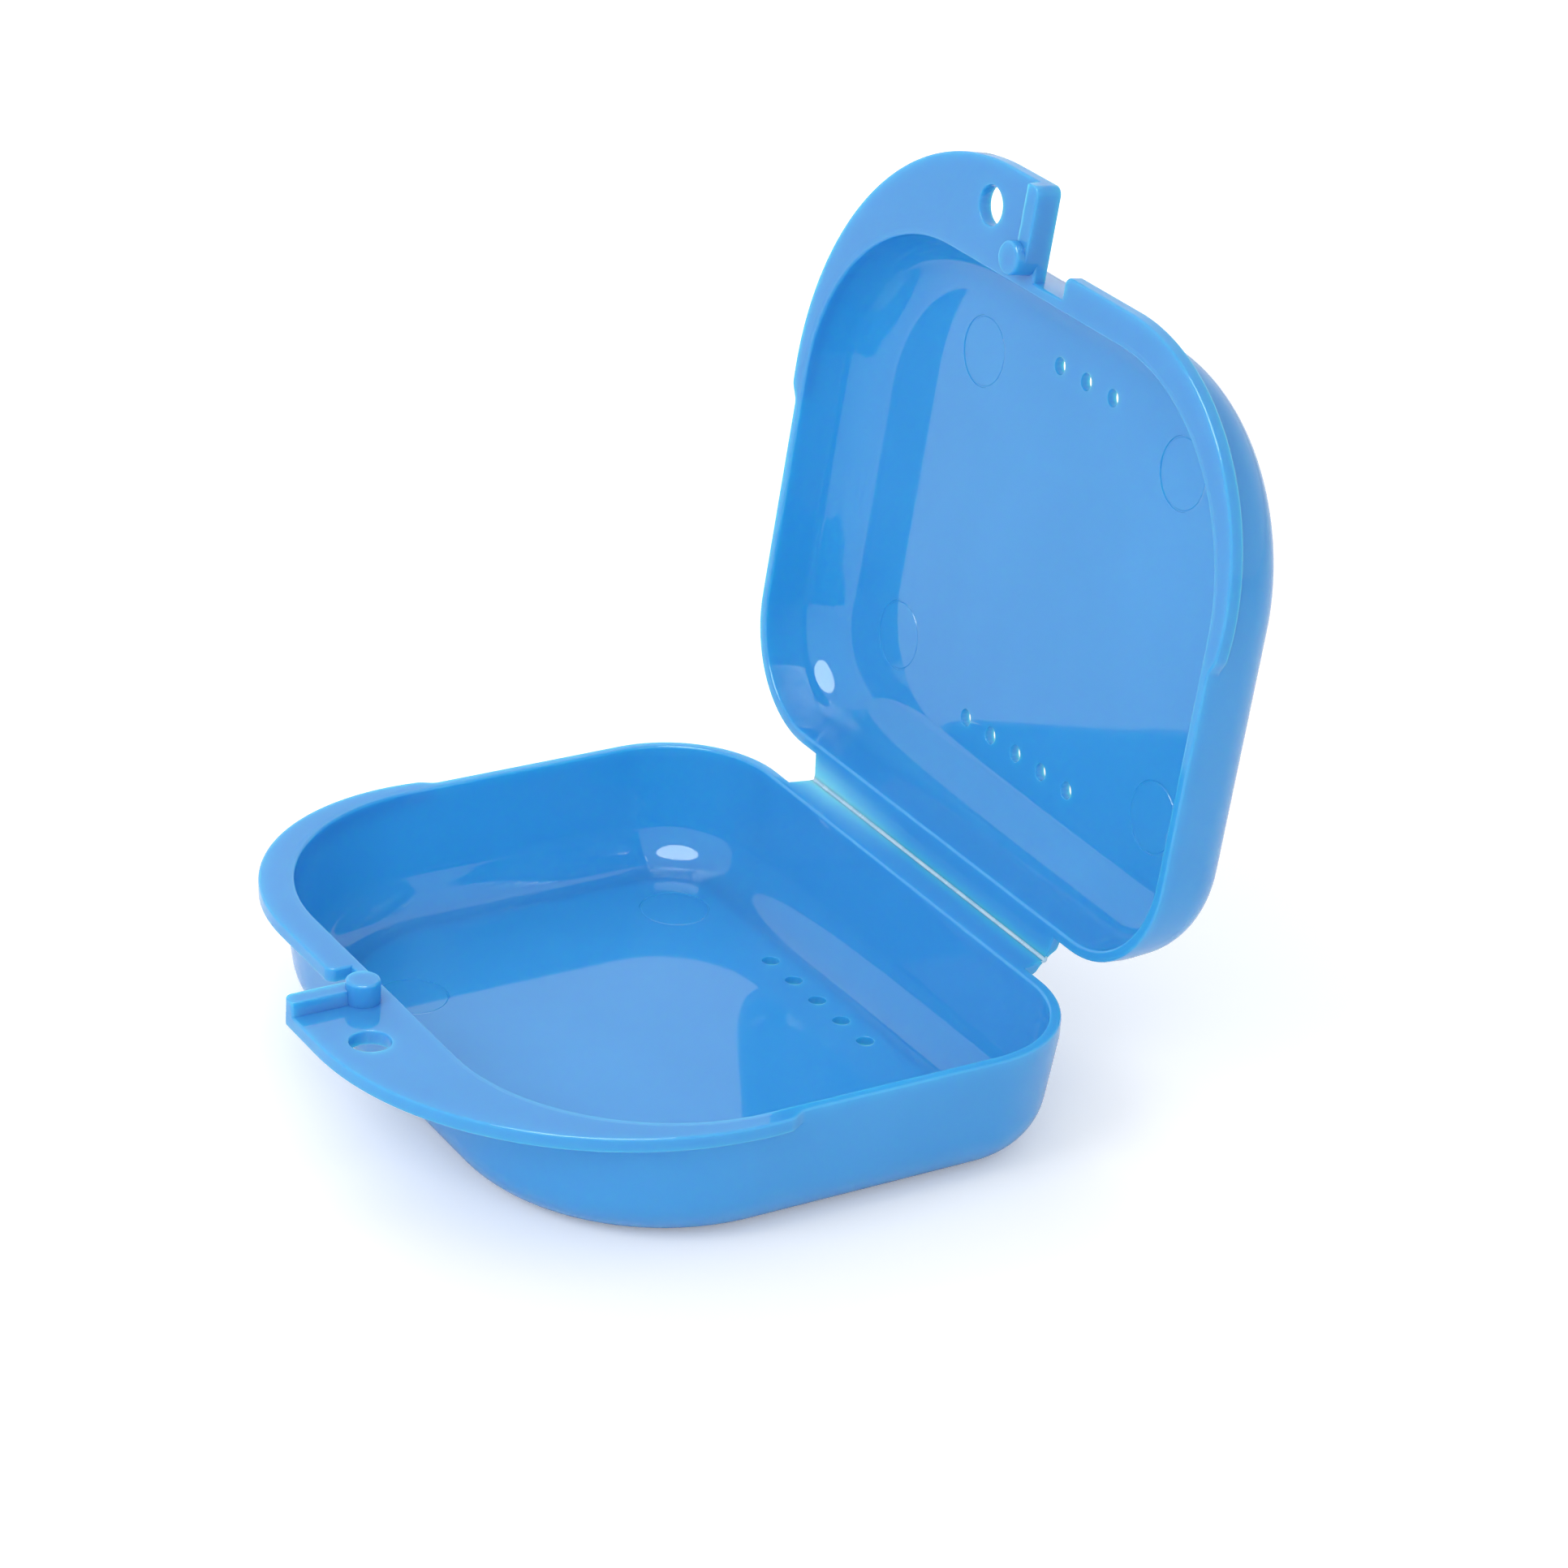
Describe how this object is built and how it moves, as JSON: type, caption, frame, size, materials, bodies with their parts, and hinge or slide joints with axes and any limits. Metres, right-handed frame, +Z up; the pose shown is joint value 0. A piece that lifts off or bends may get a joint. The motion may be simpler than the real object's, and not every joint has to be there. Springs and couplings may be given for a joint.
{
  "type": "orthodontic retainer case",
  "caption": "Translucent clamshell retainer case with two shallow trays, a living hinge, interlocking front latch rails, thumb tabs with tag holes and floor vents; lid shown open.",
  "frame": {"origin": "centre of the base's flat resting face", "axes": "+Z up, X along the hinge, -Y towards the thumb tabs at the front, +Y towards the hinge"},
  "size_m": [0.0826, 0.0936, 0.0905],
  "materials": {
    "blue_moulding": "glossy, slightly translucent blue polypropylene",
    "thin_fold": "the same blue, paler where the fold is thin"
  },
  "bodies": {
    "base": {"base_shell": "blue_moulding", "base_tab": "blue_moulding", "base_lip": "blue_moulding", "base_latch_rail": "blue_moulding", "base_latch_post": "blue_moulding", "base_hinge_leaf": "blue_moulding", "hinge_web": "thin_fold"},
    "lid": {"lid_hinge_leaf": "blue_moulding", "lid_shell": "blue_moulding", "lid_tab": "blue_moulding", "lid_lip": "blue_moulding", "lid_latch_rail": "blue_moulding", "lid_latch_post": "blue_moulding"}
  },
  "joints": [
    {"name": "lid_hinge", "type": "hinge", "parent": "base", "child": "lid", "pos_m": [0, 0.0343, 0.0148], "axis": [-1, 0, 0], "range_deg": [-97, 83]}
  ]
}
